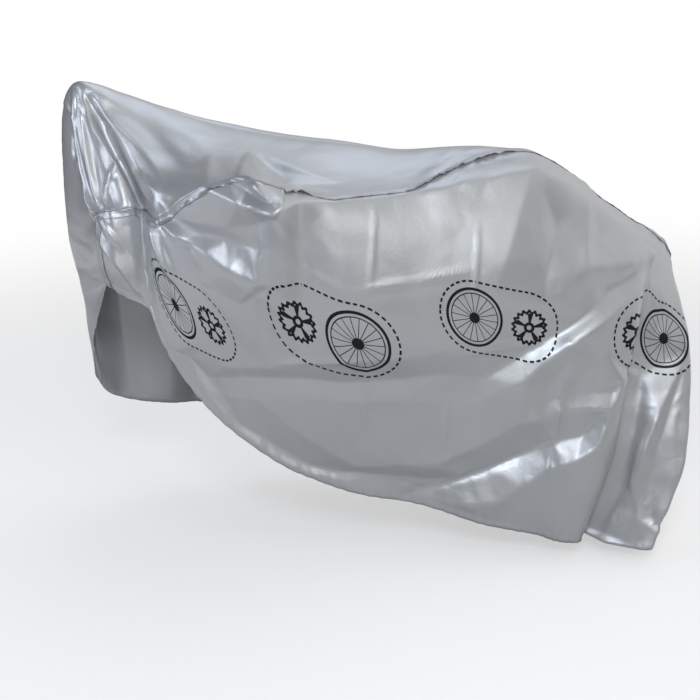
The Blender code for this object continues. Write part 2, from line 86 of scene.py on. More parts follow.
# Top.  s is negative along the front seam.  ridge_*: the cover's highest line, which runs on down
# the front end.  sag: how far the slope from brow to ridge hangs below a straight line.  seam: where
# the top seam lies, 0 at the brow, 1000 at the ridge and more beyond it.
TOP_COLUMNS = ("s", "ridge_x", "ridge_y", "ridge_z", "sag", "seam")
TOP = (
    (-180, -1041, -160, 712, 0, 0),
    (-90, -1124, -40, 714, 0, 0),
    (0, -1145, -20, 830, 0, 0),
    (50, -1132, -20, 1066, 0, 0),
    (85, -1108, -30, 1143, 0, 0),
    (120, -1076, -40, 1167, 10, 0),
    (160, -1040, -30, 1158, 20, 0),
    (260, -934, -10, 1112, 30, 0),
    (380, -761, -10, 1060, 20, 40),
    (500, -596, -30, 1028, 10, 340),
    (650, -466, -50, 1014, 5, 120),
    (820, -320, -70, 992, 0, 130),
    (980, -164, -80, 999, 0, 660),
    (1100, -48, -85, 990, 0, 1000),
    (1240, 114, -60, 886, 0, 1200),
    (1380, 245, -35, 797, 0, 1250),
    (1520, 290, -20, 772, 0, 1200),
    (1660, 325, -10, 748, 0, 1100),
    (1780, 350, -8, 722, 0, 1000),
    (1860, 362, -5, 690, 0, 900),
)

# Far wall, for the same sections as the top.  shoulder_*: just past the ridge.  mid_*: half-way
# down.  far_*: the far hem.
FAR_COLUMNS = ("s", "shoulder_x", "shoulder_y", "shoulder_z", "mid_x", "mid_y", "mid_z",
               "far_x", "far_y", "far_z")
FAR = (
    (-180, -1041, -160, 712, -1041, -160, 712, -1041, -160, 712),
    (-90, -1127, 10, 641, -1118, 20, 597, -1101, 20, 561),
    (0, -1147, 40, 737, -1140, 65, 600, -1128, 70, 466),
    (50, -1151, 40, 908, -1146, 100, 630, -1134, 110, 373),
    (85, -1125, 30, 1080, -1145, 120, 680, -1126, 120, 339),
    (120, -1100, 40, 1105, -1130, 130, 720, -1108, 130, 311),
    (160, -1065, 55, 1090, -1085, 155, 720, -1059, 150, 282),
    (260, -940, 70, 1050, -950, 175, 690, -953, 165, 259),
    (380, -765, 65, 1010, -780, 165, 650, -800, 185, 230),
    (500, -600, 50, 985, -620, 165, 600, -635, 200, 200),
    (650, -470, 30, 965, -475, 160, 570, -480, 205, 170),
    (820, -320, 15, 945, -320, 165, 550, -310, 210, 140),
    (980, -160, 10, 955, -150, 170, 540, -140, 215, 110),
    (1100, -40, 5, 940, -20, 165, 520, 0, 220, 90),
    (1240, 120, 15, 840, 110, 150, 460, 110, 215, 80),
    (1380, 250, 35, 745, 215, 130, 410, 200, 190, 80),
    (1520, 300, 45, 722, 290, 115, 400, 275, 150, 80),
    (1660, 338, 35, 700, 350, 70, 390, 320, 55, 75),
    (1780, 352, 30, 675, 364, 25, 370, 324, -2, 73),
    (1860, 368, -8, 620, 366, -27, 350, 320, -60, 70),
)

NEAR, TOP, FAR = (np.array(table) / 1000 for table in (NEAR, TOP, FAR))

# Section places of: near hem, low, high, brow, slope, ridge, shoulder, mid and far hem.
SECTION_W = (0.00, 0.15, 0.30, 0.42, 0.49, 0.56, 0.63, 0.80, 1.00)
BROW, RIDGE, SHOULDER = 3, 5, 6
BROW_W, RIDGE_W, SHOULDER_W = (SECTION_W[k] for k in (BROW, RIDGE, SHOULDER))

# Main folds, in millimetres.  Each runs from (x1, z1) to (x2, z2) as seen from the near side; bend bows
# it sideways.  width: from its crest to its foot, at each end.  lift: how far it stands out there and at
# half length.  lean: moves its foot to one side, -1 to 1.  side: 1 for what faces near, -1 for the far
# wall.
FOLD_COLUMNS = ("side", "x1", "z1", "x2", "z2", "bend", "width1", "width2",
                "lift1", "lift", "lift2", "lean")
FOLDS = (
    # front bundle of pleats, from the front peak down to the seam, and the valley behind it
    (1, -1089, 1143, -1048, 900, -6, 12, 18, 4, 16, 2, 0),
    (1, -1072, 1140, -980, 915, -4, 16, 36, 1, 20, 8, 0.3),
    (1, -1060, 1130, -930, 910, -4, 18, 34, -6, -26, -10, 0),
    (1, -1050, 1115, -881, 950, 8, 16, 40, 1, 12, 4, 0.3),
    # far wall
    (-1, -1090, 950, -1060, 330, 10, 50, 70, 2, 14, 14, 0),
    (-1, -900, 980, -880, 260, 20, 60, 90, 2, 22, 30, 0.2),
    (-1, -700, 930, -620, 210, 20, 60, 80, 2, 16, 24, 0),
    (-1, -480, 900, -440, 190, -20, 60, 90, 2, 14, 20, -0.2),
    (-1, -260, 900, -240, 160, -10, 60, 90, 4, 22, 28, 0.2),
    (-1, -50, 900, -30, 140, 20, 60, 80, 4, 18, 22, 0),
    (-1, 60, 800, 150, 120, 20, 50, 80, 4, 20, 26, 0),
)

# Creases, in the same columns: crisp lines that the film has kept or been drawn into.
CREASES = (
    # front bundle: pleat crests and valleys from the peak down to where they are gathered
    (1, -1091, 1140, -1061, 885, -12, 6, 9, 0, 11, 4, 0),
    (1, -1084, 1137, -1052, 889, -9, 5, 8, -2, -6, -3, 0),
    (1, -1077, 1135, -1041, 906, -4, 6, 10, 0, 11, 5, 0),
    (1, -1068, 1129, -1030, 938, 0, 6, 12, -1, -4, -2, 0),
    (1, -1067, 1144, -1002, 992, -8, 10, 20, 0, 10, 5, -0.5),
    (1, -1002, 992, -1025, 934, 0, 8, 10, 2.5, 6, 2, 0),
    (1, -1002, 992, -966, 899, 2, 20, 26, 5, 9, 6, -0.5),
    (1, -1060, 1129, -918, 890, -16, 8, 22, -1, -10, -12, 0),
    (1, -1054, 1121, -976, 992, -5, 7, 12, 2, 6, 2, -0.5),
    (1, -976, 992, -881, 935, -4, 10, 16, 1.5, 6, 4, 0),
    (1, -1053, 1145, -799, 966, 16, 20, 60, 1, 4, 1, 0),
    (1, -1020, 1125, -700, 1010, 14, 16, 40, 1, -2, -1, 0),
    (1, -1118, 1120, -1093, 1088, 0, 6, 6, 2, 4, 2, 0),
    (1, -1092, 1057, -1101, 988, -6, 5, 6, -1, -5, -1, 0),
    (1, -1101, 988, -1052, 880, -4, 7, 9, 1.5, 6, 5, 0),
    # below the gather: its short ridges, and the pleat edge that runs down to the hem
    (1, -1039, 877, -1013, 828, 0, 6, 6, 2, 5, 1, 0),
    (1, -1031, 876, -990, 808, 0, 8, 9, 3, 7, 1, 0),
    (1, -1036, 815, -966, 711, 4, 20, 26, 6, 14, 12, 0.7),
    (1, -918, 878, -873, 758, -6, 10, 20, 4, 12, 3, 0.3),
    (1, -890, 880, -835, 848, 0, 12, 16, 4, 10, 4, 0),
    # near bulge and the wall under it
    (1, -900, 867, -875, 761, 2, 10, 14, 2, 4, 1, 0),
    (1, -870, 860, -800, 760, 3, 10, 16, 2, 5, 2, 0.3),
    (1, -930, 840, -900, 700, 3, 10, 16, 1, 4, 1, 0),
    (1, -663, 900, -675, 790, 2, 8, 10, 1, 3, 1, 0),
    (1, -630, 920, -575, 790, 6, 10, 20, -2, -5, -1, 0),
    (1, -680, 767, -700, 600, 2, 12, 16, 3, 4, 1, 0),
    # inside the lower fold
    (1, -275, 195, -150, 240, 2, 8, 12, -2, -6, -2, 0),
    (1, -150, 240, -20, 290, 2, 12, 8, -2, -5, -1, 0),
    # creases left from packing
    (1, -418, 897, -433, 741, 1, 8, 8, 1, 3.5, 1, 0.3),
    (1, -437, 739, -335, 745, 1, 10, 10, 2, 5, 1, 0),
    (1, -335, 745, -197, 758, 1, 10, 10, 1, 5, 2, 0),
    (1, -181, 856, -197, 675, 1, 8, 9, 1, 3.5, 1, 0.3),
    (1, -249, 432, -258, 314, 1, 10, 10, 2, 6, 2, 0),
    (1, 25, 459, 18, 327, 1, 10, 10, 2, 6, 2, 0),
    (1, -640, 560, -440, 566, 1, 12, 12, 2, 5, 1, 0),
    (1, -440, 566, -446, 400, 1, 10, 10, 1, 5, 2, 0),
    (1, -210, 560, 30, 570, 1, 10, 10, 2, 5, 1, 0),
    (1, 30, 570, 100, 540, 1, 10, 10, 1, 5, 2, 0),
    # far panel: what shows of it over the top and at the front end
    (-1, -1122, 1115, -1095, 1088, 1, 8, 10, 2, 3, 2, 0),
    (-1, -1080, 1100, -800, 940, 16, 16, 40, 2, 8, 2, 0),
    (-1, -1100, 1050, -1000, 700, 10, 14, 40, 2, 10, 3, 0.3),
    (-1, -700, 970, -560, 600, 10, 20, 50, 1, 8, 2, 0),
    (-1, -60, 930, -260, 640, 10, 16, 50, 2, 9, 2, 0.3),
    (-1, -60, 930, 80, 560, -6, 16, 50, 2, 10, 2, 0.3),
    (-1, 290, 690, 140, 420, 6, 16, 40, 2, 9, 2, 0),
    (-1, -560, 560, -300, 250, 12, 30, 50, 2, 10, 3, 0.3),
    (-1, -900, 620, -700, 260, 10, 20, 50, 2, 10, 4, 0.3),
)

# Corners that the film is drawn between, in side view: x, z and lift, in millimetres.  The film lies
# flat between neighbouring corners.  It creases from corner to corner of each group that isn't loose,
# and along the further lines.
CORNERS = {
    # along the brow, and above it
    "brow": ((-620, 945, 3), (-495, 925, 4), (-355, 925, 4), (-260, 935, 5), (-145, 945, 6)),
    "apex": ((-40, 955, 10),),
    "top": ((-615, 965, 0), (-490, 950, 0), (-350, 950, 0), (-230, 960, 0), (-110, 975, 0)),
    # round the rear shoulder
    "rear": ((-75, 885, 13), (-125, 755, 10), (-230, 830, 0), (20, 840, -11), (85, 730, 8),
        (100, 885, 12), (130, 795, -3), (200, 810, 0), (280, 725, 10), (215, 720, 12), (145, 680, -10)),
    "middle": ((-20, 730, -1), (-20, 660, -1), (-165, 630, 2), (-290, 640, 3)),
    "packed": ((-190, 750, 3), (-360, 750, 3), (-485, 750, 2)),
    # the slanting fold's valley and its crest, and the star under it
    "valley": ((225, 695, -3), (130, 650, -11), (30, 595, -13), (-70, 540, -12), (-165, 490, -8),
        (-250, 455, -1)),
    "band": ((265, 695, 6), (160, 635, 9), (70, 585, 13), (0, 540, 14), (-70, 480, 14), (-140, 450, 9),
        (-220, 415, 5)),
    "star": ((45, 525, 6), (130, 540, 2), (75, 480, -2), (-20, 445, 1), (30, 420, 4), (105, 445, -5),
        (160, 445, -3), (145, 395, 8), (90, 400, 8)),
    # the lower fold
    "ridge": ((20, 395, 9), (-65, 375, 11), (-165, 320, 12), (-260, 275, 8), (-350, 270, 5)),
    "trough": ((-285, 195, -5), (-235, 220, -10), (-150, 245, -14), (-65, 280, -14), (15, 315, -10),
        (80, 330, -9), (120, 380, -5)),
    "crest": ((-270, 165, 5), (-200, 160, 14), (-125, 165, 20), (-60, 210, 21), (5, 250, 20), (65, 275, 19),
        (110, 305, 17), (135, 360, 8)),
    "hem": ((-110, 105, 10), (40, 55, 14)),
    # the S-fold's edge and recess, and the strip behind it
    "edge": ((175, 465, 7), (155, 330, 9), (125, 200, 9), (78, 70, 8)),
    "recess": ((240, 450, -12), (220, 320, -14), (193, 190, -14), (140, 70, -6)),
    "rear_a": ((280, 370, 4), (245, 290, 5), (215, 200, 4), (225, 115, 3)),
    "rear_b": ((295, 345, -3), (270, 280, -4), (255, 210, -4), (255, 115, -3)),
    "rear_c": ((310, 320, 2), (310, 235, 2), (295, 145, 1)),
    # front of the lower wall, down to the hem
    "wall_a": ((-730, 545, 2), (-595, 550, 5), (-475, 565, 7), (-360, 565, 7), (-265, 575, 5),
        (-165, 580, 2)),
    "wall_b": ((-735, 520, -5), (-595, 515, -7), (-480, 500, -8), (-360, 500, -8), (-265, 510, -6),
        (-155, 530, -3)),
    "wall_c": ((-595, 470, 2), (-480, 455, 3), (-360, 450, 3), (-250, 440, 2)),
    "slant_a": ((-695, 465, 4), (-600, 375, 6), (-510, 300, 6), (-465, 270, 4)),
    "slant_b": ((-745, 400, -5), (-660, 335, -7), (-585, 280, -8), (-520, 255, -9), (-410, 240, -6),
        (-300, 225, -4)),
    "front_a": ((-820, 605, 5), (-765, 550, 5)),
    "front_b": ((-850, 565, -3), (-810, 515, -7), (-780, 470, -6)),
    "strip": ((-885, 580, 3), (-815, 490, 6), (-740, 380, 7), (-660, 310, 7), (-580, 260, 6),
        (-495, 225, 4), (-360, 185, 4)),
    # near bulge, and the pocket and facet under it
    "bulge_a": ((-715, 995, 3), (-665, 982, 10), (-620, 953, 8)),
    "bulge_b": ((-735, 990, -4), (-690, 970, -3), (-640, 955, -2)),
    "bulge_c": ((-780, 970, 13), (-705, 945, 29), (-635, 935, 15)),
    "under": ((-635, 925, 3), (-690, 895, 0), (-745, 885, -3), (-825, 895, -3)),
    "pocket": ((-875, 900, -12), (-805, 865, -20), (-750, 855, -18), (-695, 845, -10)),
    "facet": ((-835, 855, -2), (-795, 830, 6), (-740, 795, 12), (-680, 765, 15)),
    "side": ((-655, 845, -2), (-650, 760, 4)),
    "below": ((-800, 750, 1), (-725, 710, 2)),
    # outside what is drawn
    "outer": ((-1200, -100, 0), (600, -100, 0), (600, 1300, 0), (-1200, 1300, 0), (-900, 960, 0),
        (-925, 860, 0), (-950, 750, 0), (-960, 640, 0), (-780, 1010, 0), (-690, 1020, -6), (-645, 995, -16),
        (-605, 972, -18), (-20, 985, 0), (150, 860, 0), (320, 700, 0), (360, 500, 0), (350, 50, 0)),
}
LOOSE = ("apex", "top", "rear", "middle", "star", "hem", "outer")
LINES = (
    "brow5 apex1", "apex1 rear1 rear2", "apex1 rear4 rear5", "apex1 rear6 rear5", "rear5 rear10 rear9",
    "rear6 rear8 rear9", "rear6 rear7", "valley1 rear11 rear5", "packed1 rear2", "rear9 valley1",
    "rear9 band1", "band3 star1 star5", "star5 star6 star7", "star5 star9 star8", "ridge1 star5",
    "trough5 crest5", "rear_a1 rear_b1", "front_a2 wall_a1", "front_b3 slant_b1", "strip7 crest1",
    "pocket4 facet4",
)

# Places where the film is crumpled: side; x, z, how far it reaches and how deep its creases are, in
# millimetres; how many creases run out of it.
CRUMPLES = (
    (1, -690, 770, 70, 1.5, 6),
    (1, 90, 735, 60, 1.8, 7),
    (1, 270, 700, 60, 1.8, 7),
    (1, -290, 190, 90, 3, 10),
    (1, 26, 414, 50, 2, 7),
    (1, 10, 285, 50, 2, 7),
    (1, 300, 372, 60, 2.5, 8),
    (1, 225, 120, 70, 2.5, 8),
    (1, -205, 965, 50, 2, 7),
    (-1, -1090, 900, 140, 4, 10),
    (-1, -300, 500, 160, 4, 10),
    (-1, 250, 500, 140, 4, 10),
    (-1, -800, 400, 160, 4, 10),
)
WRINKLE_SEED, NEAR_SEED, FAR_SEED = 7, 11, 23

# How far the top weld's free edge stands off the near panel, at places along x, in millimetres.
FREE_EDGE = (
    (-840, 2), (-800, 6), (-700, 7), (-620, 5), (-570, 0.3), (-510, 0.3), (-490, 14), (-455, 6),
    (-440, 1.5), (-250, 2), (-160, 10), (-20, 9), (50, 1.5), (450, 1.5),
)

# Facets: the film never lies quite flat.  Their size, and how far they tilt out of it.
FACETS = ((0.150, 0.0028), (0.070, 0.0017), (0.033, 0.0007))
FACET_HEIGHTS = 64       # random heights along each side of the field that they repeat over
FACET_SWAY = 0.22        # how far their grid sways, in facets
FACET_WAVES = (1.7, 3.9) # radians of its sways in each facet
CALM_FACETS = 0.45       # share of the facets' height where nothing is crumpled
CRUMPLED_FACETS = 0.9    # what a crumpled place adds to that share
MOST_FACETS = 1.3        # its limit

# Printed motifs on the near panel.  along, up: film coordinates of its centre.  turn: degrees.
# size: of one motif unit.  kind: 0 has its spoked ring in front, 1 behind.
PRINTS = (
    (0.290, 0.190, 30, 0.085, 0),
    (0.640, 0.420, 6, 0.120, 1),
    (1.050, 0.540, -3, 0.110, 0),
    (1.500, 0.535, -4, 0.112, 1),
)
PRINT_REACH = 1.6        # motif units within which a motif is printed
BLANK = 5                # kind of the film beyond that
HIGHEST_KIND = 1.5       # film of a higher kind is blank

# How the motif is drawn, in motif units: each row has a value's name, its operation and what that works
# on.  way is 1, or -1 where the rings change places.
PRINT_NODES = {"combined": "CombineXYZ", "clamped": "Clamp", "LENGTH": "VectorMath"}
PRINT_STEPS = (
    # spoked ring
    ("ring_x", "MULTIPLY_ADD", "way", 0.55, "x"),
    ("ring_place", "combined", "ring_x", "y"),
    ("ring_r", "LENGTH", "ring_place"),
    ("ring_turn", "ARCTAN2", "y", "ring_x"),
    ("outer", "COMPARE", "ring_r", 0.62, 0.030),
    ("inner", "COMPARE", "ring_r", 0.53, 0.012),
    ("dot", "COMPARE", "ring_r", 0.09, 0.030),
    ("spoke_turn", "MULTIPLY", "ring_turn", 9.0),
    ("spoke_wave", "SINE", "spoke_turn"),
    ("off_spoke", "MULTIPLY", "spoke_wave", "ring_r"),
    ("spoke", "COMPARE", "off_spoke", 0.0, 0.075),
    ("within", "LESS_THAN", "ring_r", 0.53),
    ("spokes", "MULTIPLY", "spoke", "within"),
    # toothed ring with five arms
    ("disc_x", "MULTIPLY_ADD", "way", -0.72, "x"),
    ("disc_place", "combined", "disc_x", "y"),
    ("disc_r", "LENGTH", "disc_place"),
    ("disc_turn", "ARCTAN2", "y", "disc_x"),
    ("tooth_turn", "MULTIPLY", "disc_turn", 18.0),
    ("tooth_wave", "SINE", "tooth_turn"),
    ("toothed_r", "MULTIPLY_ADD", "tooth_wave", 0.028, "disc_r"),
    ("teeth", "COMPARE", "toothed_r", 0.36, 0.040),
    ("arm_turn", "MULTIPLY", "disc_turn", 5.0),
    ("arm_wave", "SINE", "arm_turn"),
    ("arm", "GREATER_THAN", "arm_wave", 0.55),
    ("web", "COMPARE", "disc_r", 0.20, 0.13),
    ("arms", "MULTIPLY", "arm", "web"),
    ("disc_dot", "COMPARE", "disc_r", 0.09, 0.035),
    # loop of short dashes round both
    ("held", "clamped", "x", -0.55, 0.60),
    ("past", "SUBTRACT", "x", "held"),
    ("loop_place", "combined", "past", "y"),
    ("loop_r", "LENGTH", "loop_place"),
    ("loop", "COMPARE", "loop_r", 0.78, 0.022),
    ("loop_turn", "ARCTAN2", "y", "past"),
    ("loop_run", "MULTIPLY_ADD", "loop_turn", 0.78, "held"),
    ("dash_turn", "MULTIPLY", "loop_run", 42.0),
    ("dash_wave", "SINE", "dash_turn"),
    ("dash", "GREATER_THAN", "dash_wave", -0.45),
    ("dashes", "MULTIPLY", "loop", "dash"),
)
PRINT_MARKS = ("outer", "inner", "dot", "spokes", "teeth", "arms", "disc_dot", "dashes")

# Film.
METALLIC = 0.55          # aluminium flakes under the film's clear surface
SATIN = (0.36, 0.44)     # its roughness, from patch to patch
CRINKLE = 0.0011         # height of its fine crinkles
CRINKLE_SWAY = 0.05      # how far their ridges wander
RIDGE_SHARE = 0.35       # height of the ridges against the grain

# Studio.  The camera's place and its turn in radians, as fitted to the photograph.
CAMERA_PLACE = (-0.5054, -2.7322, 0.5728)
CAMERA_YAW, CAMERA_PITCH, CAMERA_ROLL = 0.0531, 0.3738, -0.0189
CAMERA_LENS = 60.15      # mm, on a 36 mm sensor
PAPER = "#C6C5C4"
PAPER_GLOW = 0.52        # brightness that the paper adds where the camera sees it
PAPER_FADE = (1.4, 3.6)  # the floor runs out into white between these distances
FLOOR_MIDDLE = -0.30     # x of its middle
ROOM_WAY = (0.80, 0.45, 0.40)    # towards the room's brightest part, behind the rear end
ROOM_SPAN = (0.20, 0.95)         # the room brightens between these shares of that way
ROOM_LIGHT = (0.05, 0.75)        # how bright it is at either end of them
LIGHTS = (               # name, place, aim, size, power, colour
    ("front", (-0.6, -3.0, 1.9), (-0.2, 0.0, -0.1), 0.8, 37, "#E6F0FF"),
    ("low_front", (-0.1, -3.6, 0.9), (-0.2, 0.0, -0.3), 2.0, 9, "#FFFFFA"),
    ("rear_front", (1.3, -3.0, 1.4), (0.1, 0.0, -0.6), 1.6, 12, "#FFFFFA"),
    ("high", (0.3, -2.4, 3.2), (-0.2, 0.0, -0.2), 1.2, 16, "#FFFFFA"),
    ("left", (-3.2, -1.2, 0.6), (-0.8, 0.0, -0.2), 1.2, 21, "#E8F0FF"),
    ("top", (-0.2, 0.9, 2.6), (-0.3, 0.0, -0.2), 1.8, 12, "#DCEBFF"),
)

REAR_S = NEAR[-1, 0]

# Grids.  Columns run from end seam to end seam, rows from hem to top seam.  *_SHARES: places along the
# film, each with the share of the columns in front of it.
NEAR_SHARES = ((0.0, 0.0), (0.20, 0.17), (0.65, 0.46), (0.98, 0.60), (1.48, 0.85), (REAR_S, 1.0))
FAR_SHARES = ((0.0, 0.0), (0.20, 0.36), (0.65, 0.58), (0.98, 0.70), (1.48, 0.88), (REAR_S, 1.0))
NEAR_STEPS, NEAR_ROWS = 372, 126
FAR_STEPS, FAR_FRONT_STEPS, FAR_ROWS = 296, 30, 144
FAR_WALL_ROWS = 50       # of the far panel's rows, those below the top of its wall
WALL_TOP_W = 0.68        # section place where the far wall's even rows end
EVEN_FROM, EVEN_TO = 1.20, 1.60   # over these film distances its rows turn evenly spaced
SEAM_EASE = 0.20         # within this distance of the rear seam they are drawn onto the near rows
END_FADE = 0.012         # folds die out within this distance of the end seams
SEAM_ROWS = 14           # rows over which a panel eases onto its seam line
MAIN_CREST, CREST = 0.06, 0.03    # roundness of the crests of folds and creases, in widths
FLANK = 1.12             # 1 for flat flanks, more for flanks that flatten towards the foot
NEAR_UP_TO = 0.12        # y of an outward direction up to which the film takes the near side's folds
SAME_PLACE = 0.00001     # points closer than this are one
FLAP_WAVES = ((0.041, 0.3), (0.067, 1.9), (0.023, 4.1), (0.190, 0.8))   # lengths and turns, free edge
END_STAND = 0.0012       # how far the end welds' free edges stand off
FRONT_STRIP, REAR_STRIP = 12, 24   # near columns that the end welds' strips are laid over


# ---- the draped shape
def unit(vectors):
    """Vectors at length one; a vector of no length stays so."""
    length = np.linalg.norm(vectors, axis=-1, keepdims=True)
    return vectors / np.maximum(length, 1e-9)


def pchip(knots, values, at):
    """Smooth curve through values at rising knots, which never swings past them."""
    knots = np.asarray(knots, float)
    span = np.diff(knots)[:, None]
    rise = np.diff(values, axis=0) / span
    slope = np.zeros_like(values)
    same = rise[:-1] * rise[1:] > 0
    w1, w2 = 2 * span[1:] + span[:-1], span[1:] + 2 * span[:-1]
    with np.errstate(all="ignore"):
        mean = (w1 + w2) / (w1 / rise[:-1] + w2 / rise[1:])
    slope[1:-1][same] = mean[same]
    slope[0], slope[-1] = rise[0], rise[-1]
    cell = np.clip(np.searchsorted(knots, at, side="right") - 1, 0, len(knots) - 2)
    h = span[cell]
    t = ((at - knots[cell]) / span[cell, 0])[:, None]
    return (values[cell] * (1 + 2 * t) * (1 - t) ** 2 + slope[cell] * h * t * (1 - t) ** 2
            + values[cell + 1] * t * t * (3 - 2 * t) + slope[cell + 1] * h * t * t * (t - 1))


def read_table(columns, rows, s):
    """A table's columns by name, read at film distances s."""
    return dict(zip(columns[1:], pchip(rows[:, 0], rows[:, 1:], s).T))


def places(table, name):
    """The x, y and z columns of one named line of a table."""
    return np.stack([table[name + axis] for axis in ("_x", "_y", "_z")], 1)


def top_points(s, brow):
    """Slope, ridge and shoulder of the sections at film distances s, above their brow."""
    top, far = read_table(TOP_COLUMNS, TOP, s), read_table(FAR_COLUMNS, FAR, s)
    ridge = places(top, "ridge")
    slope = (brow + ridge) / 2
    slope[:, 2] -= top["sag"]
    return [slope, ridge, places(far, "shoulder")]


def near_net():
    """Points that carry the near sections, from the hem to the shoulder."""
    s = NEAR[:, 0]
    near = read_table(NEAR_COLUMNS, NEAR, s)
    hem, brow = places(near, "hem"), places(near, "brow")
    wall = []
    for share, out in ((1 / 3, near["low_y"]), (2 / 3, near["high_y"])):
        point = hem + (brow - hem) * share
        point[:, 0] += near["bow"] * 4 * share * (1 - share)
        point[:, 1] = out
        wall.append(point)
    return s, np.stack([hem, *wall, brow, *top_points(s, brow)], 1)


def far_net():
    """Points that carry the far sections, from the brow or the front seam to the far hem."""
    s = TOP[:, 0]
    near_s, near = near_net()
    along_top = s >= 0
    brow = np.zeros((len(s), 3))
    brow[along_top] = pchip(near_s, near[:, BROW], s[along_top])
    brow[~along_top] = pchip((0, 1 / 3, 2 / 3, 1), near[0, :BROW + 1], 1 + s[~along_top] / FRONT_SEAM)
    far = read_table(FAR_COLUMNS, FAR, s)
    return s, np.stack([brow, *top_points(s, brow), places(far, "mid"), places(far, "far")], 1)


def seam_w(s):
    """Where along its section the top seam lies, at film distances s."""
    share = read_table(TOP_COLUMNS, TOP, s)["seam"]
    before = BROW_W + share * (RIDGE_W - BROW_W)
    beyond = RIDGE_W + (share - 1) * (SHOULDER_W - RIDGE_W)
    return np.where(share < 1, before, beyond)


def in_metres(rows):
    """Rows whose millimetres are turned to metres; their first and last value stay."""
    return tuple((side, *(size / 1000 for size in sizes), lean) for side, *sizes, lean in rows)


def fold_lift(x, z, row, crest):
    """How far one fold lifts the film at side-view places x, z.  crest: its roundness, in widths."""
    fold = dict(zip(FOLD_COLUMNS[1:], row[1:]))
    start = np.array((fold["x1"], fold["z1"]))
    end = np.array((fold["x2"], fold["z2"]))
    across = unit(np.array((start[1] - end[1], end[0] - start[0])))
    middle = (start + end) / 2 + across * fold["bend"] * 2
    steps = np.linspace(0, 1, 9)[:, None]
    line = (1 - steps) ** 2 * start + 2 * steps * (1 - steps) * middle + steps ** 2 * end
    place = np.stack([x, z], -1)
    best = np.full(x.shape, np.inf)
    along, side = np.zeros(x.shape), np.ones(x.shape)
    for k in range(len(line) - 1):
        run = line[k + 1] - line[k]
        t = np.clip((place - line[k]) @ run / (run @ run), 0, 1)
        off = place - line[k] - t[..., None] * run
        distance = np.hypot(off[..., 0], off[..., 1])
        closer = distance < best
        best = np.where(closer, distance, best)
        along = np.where(closer, (k + t) / (len(line) - 1), along)
        side = np.where(closer, np.sign(run[0] * off[..., 1] - run[1] * off[..., 0]), side)
    width = fold["width1"] + (fold["width2"] - fold["width1"]) * along
    lift = (fold["lift1"] * (1 - along) * (1 - 2 * along) + fold["lift"] * 4 * along * (1 - along)
            + fold["lift2"] * along * (2 * along - 1))
    u = np.clip(best / (width * (1 + fold["lean"] * side)), 0, 1)
    down = (np.hypot(u, crest) - crest) / (math.hypot(1, crest) - crest)
    return lift * (1 - down) ** FLANK


def grid_normals(grid):
    """Unit normals of a grid whose rows run rearwards and whose columns run up the near wall."""
    return unit(np.cross(np.gradient(grid, axis=0), np.gradient(grid, axis=1)))


def cover_points(knots, net, s, w):
    """Smooth outer skin at film distances s, with one row of section places w for each."""
    first = 0 if w[0, 0] < w[0, -1] else BROW
    net_w = SECTION_W[first:first + net.shape[1]]
    carried = pchip(knots, net.reshape(len(net), -1), s).reshape(len(s), len(net_w), 3)
    return np.stack([pchip(net_w, carried[k], w[k]) for k in range(len(s))])


def rows_along(steps, table):
    """Film distances of a panel's columns, from the front seam to the rear seam."""
    along, shares = zip(*table)
    return np.interp(np.linspace(0, 1, steps + 1), shares, along)


def distances(points):
    """Distance along a line at each of its points."""
    return np.concatenate([[0.0], np.cumsum(np.linalg.norm(np.diff(points, axis=0), axis=-1))])


def run_lengths(points):
    """Share of a line's length at each of its points."""
    run = distances(points)
    return run / run[-1]


def read_line(at, values, wanted):
    """Values along a line, read at other places on it."""
    return np.stack([np.interp(wanted, at, values[:, k]) for k in range(values.shape[1])], 1)


def near_grid():
    """Smooth outer skin of the near panel, from hem to top seam."""
    s = rows_along(NEAR_STEPS, NEAR_SHARES)
    w = seam_w(s)[:, None] * np.linspace(0, 1, NEAR_ROWS + 1)
    return cover_points(*near_net(), s, w)


def far_columns():
    """Film distances of the far panel's columns; those below 0 run up the front seam."""
    front = FRONT_SEAM * (np.linspace(0, 1, FAR_FRONT_STEPS + 1)[:-1] - 1)
    return np.concatenate([front, rows_along(FAR_STEPS, FAR_SHARES)])


def far_grid():
    """Smooth outer skin of the far panel, from far hem to top seam."""
    s = far_columns()
    seam = seam_w(s)[:, None]
    wall = np.linspace(1, WALL_TOP_W, FAR_WALL_ROWS + 1)[None, :-1].repeat(len(s), 0)
    over = WALL_TOP_W + (seam - WALL_TOP_W) * np.linspace(0, 1, FAR_ROWS - FAR_WALL_ROWS + 1)
    even = 1 + (seam - 1) * np.linspace(0, 1, FAR_ROWS + 1)
    evened = np.clip((s - EVEN_FROM) / (EVEN_TO - EVEN_FROM), 0, 1)[:, None]
    w = np.concatenate([wall, over], 1) * (1 - evened) + even * evened
    return cover_points(*far_net(), s, w)


